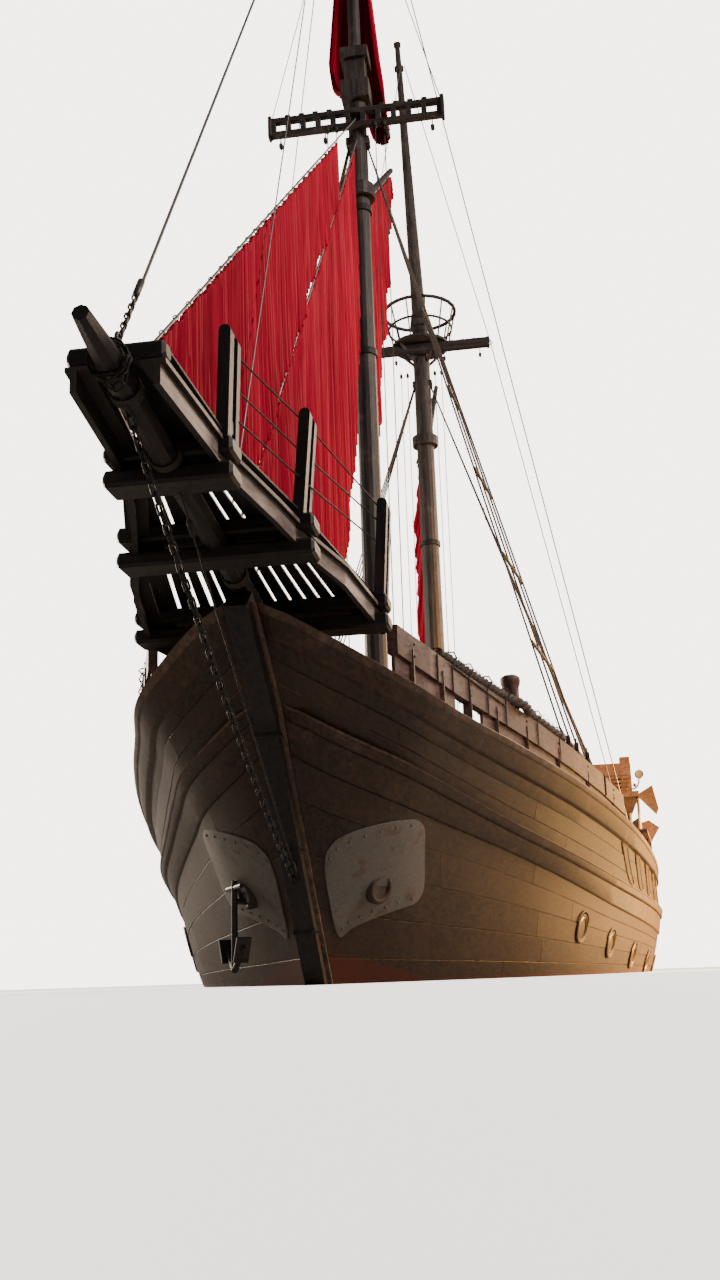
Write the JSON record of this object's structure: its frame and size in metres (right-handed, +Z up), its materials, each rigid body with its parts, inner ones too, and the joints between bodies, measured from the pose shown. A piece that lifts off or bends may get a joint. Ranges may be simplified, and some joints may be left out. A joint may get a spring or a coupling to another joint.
{
  "type": "junk ship",
  "caption": "Wooden junk-type sailing ship with a beakhead, a bowsprit, masts with brailed red sails on standing gaffs, a deckhouse and a wheelhouse, afloat",
  "frame": {"origin": "on the centreline where the stem meets the waterline", "axes": "+Y aft along the keel, +X to port, +Z up, so the bow points to -Y and the water surface is z = 0"},
  "size_m": [9.2, 32.8452, 26.05],
  "materials": {
    "hull_timber": "oiled planking, satin",
    "dark_timber": "dark stained, weathered",
    "rail_timber": "varnished and worn",
    "deck_timber": "bare weathered planks",
    "mast_timber": "dark grey-brown, matt",
    "sail_cloth": "dyed canvas",
    "rigging": "tarred rope and wire",
    "iron": "rusty iron",
    "steel_plate": "grey-white plate with rust",
    "bronze": "dull bronze",
    "painted_timber": "painted panel"
  },
  "bodies": {
    "ship": {"anchor_starboard": "iron", "beak_platform": "dark_timber", "beak_post_1_port": "dark_timber", "beak_post_1_starboard": "dark_timber", "beak_post_2_port": "dark_timber", "beak_post_2_starboard": "dark_timber", "beak_post_3_port": "dark_timber", "beak_post_3_starboard": "dark_timber", "beak_rail_port": "rail_timber", "beak_rail_starboard": "rail_timber", "bobstay_chain": "iron", "bowsprit": "dark_timber", "bridge_parapet": "hull_timber", "bulwark_port": "hull_timber", "bulwark_starboard": "hull_timber", "crows_nest": "mast_timber", "fore_crosstree": "mast_timber", "fore_mast": "mast_timber", "fore_shrouds_port": "rigging", "fore_shrouds_starboard": "rigging", "fore_topmast": "mast_timber", "fore_topsail": "sail_cloth", "hawse_plate_port": "steel_plate", "hawse_plate_starboard": "steel_plate", "house_back": "painted_timber", "house_front": "painted_timber", "house_roof": "dark_timber", "house_side_port": "painted_timber", "house_side_starboard": "painted_timber", "hull": "hull_timber", "inner_stay": "rigging", "inner_staysail": "sail_cloth", "jib_stay": "rigging", "keel": "dark_timber", "main_crosstree": "mast_timber", "main_deck": "deck_timber", "main_mast": "mast_timber", "main_shrouds_port": "rigging", "main_shrouds_starboard": "rigging", "main_topmast": "mast_timber", "outer_jib": "sail_cloth", "rail_aft_port": "rail_timber", "rail_aft_starboard": "rail_timber", "rail_fore_port": "rail_timber", "rail_fore_starboard": "rail_timber", "stem": "dark_timber", "topmast_stay": "rigging", "wale_lower_port": "rail_timber", "wale_lower_starboard": "rail_timber", "wale_upper_port": "rail_timber", "wale_upper_starboard": "rail_timber", "wheelhouse_roof": "dark_timber", "wheelhouse_walls": "painted_timber"},
    "rudder": {"rudder": "dark_timber"},
    "propeller": {"propeller": "bronze"},
    "fore_gaff": {"fore_gaff": "mast_timber", "foresail": "sail_cloth"},
    "main_gaff": {"main_gaff": "mast_timber", "mainsail": "sail_cloth"},
    "house_door": {"house_door": "rail_timber"}
  },
  "joints": [
    {"name": "rudder_turn", "type": "hinge", "parent": "ship", "child": "rudder", "pos_m": [0, 23.75, -1.6], "axis": [0, 0, 1], "range_deg": [-35, 35]},
    {"name": "propeller_spin", "type": "hinge", "parent": "ship", "child": "propeller", "pos_m": [0, 22.75, -1.72], "axis": [0, 1, 0], "continuous": true},
    {"name": "fore_gaff_swing", "type": "hinge", "parent": "ship", "child": "fore_gaff", "pos_m": [0, 4.98, 12.25], "axis": [0, 0, 1], "range_deg": [-35, 35]},
    {"name": "main_gaff_swing", "type": "hinge", "parent": "ship", "child": "main_gaff", "pos_m": [0, 14.37, 11.9], "axis": [0, 0, 1], "range_deg": [-35, 35]},
    {"name": "house_door_swing", "type": "hinge", "parent": "ship", "child": "house_door", "pos_m": [0.84, 16.32, 2.7], "axis": [0, 0, -1], "range_deg": [0, 100]}
  ]
}
